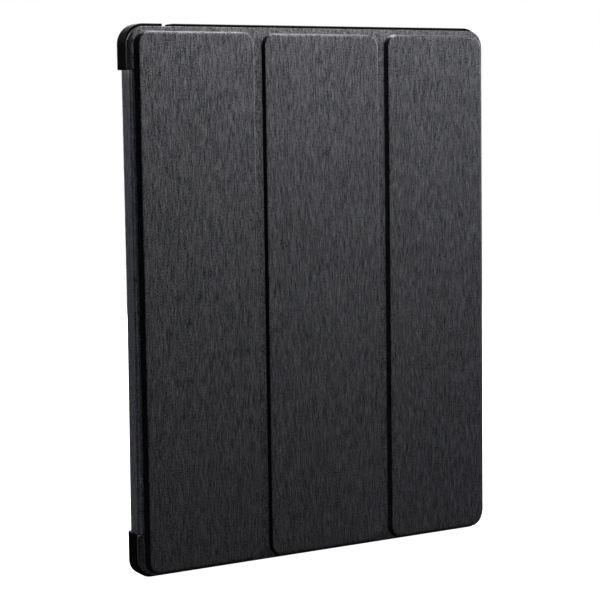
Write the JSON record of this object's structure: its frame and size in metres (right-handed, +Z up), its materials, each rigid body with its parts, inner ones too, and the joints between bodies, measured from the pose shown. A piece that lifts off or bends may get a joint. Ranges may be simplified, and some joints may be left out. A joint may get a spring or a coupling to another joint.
{
  "type": "tablet case",
  "caption": "Folio case for a tablet: moulded tray with corner clips, soft spine along one side and a folding cover of three raised panels.",
  "frame": {"origin": "centre of the closed case's outline, on the surface it stands on", "axes": "+Z up along the height, the cover faces -Y, the spine is at -X, the tray's back faces +Y"},
  "size_m": [0.1892, 0.0142, 0.2447],
  "materials": {
    "shell": "fine matte moulded",
    "skin": "brushed synthetic leather, low sheen",
    "lining": "short-pile microfibre",
    "board": "dense grey board",
    "film": "plain polyester film",
    "tape": "double-sided adhesive film",
    "steel": "cold-rolled",
    "magnet": "nickel plated"
  },
  "bodies": {
    "shell": {"back_shell": "shell", "rear_flap_skin": "skin", "rear_flap_tape": "tape", "rear_bend_skin": "skin", "rear_bend_lining": "lining"},
    "spine": {"spine_skin": "skin", "spine_stiffener": "film", "spine_lining": "lining", "front_bend_skin": "skin", "front_bend_lining": "lining"},
    "panel_1": {"panel_1_skin": "skin", "panel_1_board": "board", "panel_1_lining": "lining", "stand_plate": "steel", "fold_1_skin": "skin", "fold_1_lining": "lining"},
    "panel_2": {"panel_2_skin": "skin", "panel_2_board": "board", "panel_2_lining": "lining", "fold_2_skin": "skin", "fold_2_lining": "lining"},
    "panel_3": {"panel_3_skin": "skin", "panel_3_board": "board", "panel_3_lining": "lining", "edge_magnets": "magnet", "wake_magnet": "magnet"}
  },
  "joints": [
    {"name": "spine_hinge", "type": "hinge", "parent": "shell", "child": "spine", "pos_m": [-0.09214, 0.00532, 0.12235], "axis": [0, 0, -1], "range_deg": [0, 180]},
    {"name": "cover_hinge", "type": "hinge", "parent": "spine", "child": "panel_1", "pos_m": [-0.09331, -0.00514, 0.12235], "axis": [0, 0, -1], "range_deg": [0, 90]},
    {"name": "fold_1", "type": "hinge", "parent": "panel_1", "child": "panel_2", "pos_m": [-0.02995, -0.00647, 0.12235], "axis": [0, 0, -1], "range_deg": [0, 105]},
    {"name": "fold_2", "type": "hinge", "parent": "panel_2", "child": "panel_3", "pos_m": [0.03625, -0.00647, 0.12235], "axis": [0, 0, -1], "range_deg": [0, 150]}
  ]
}
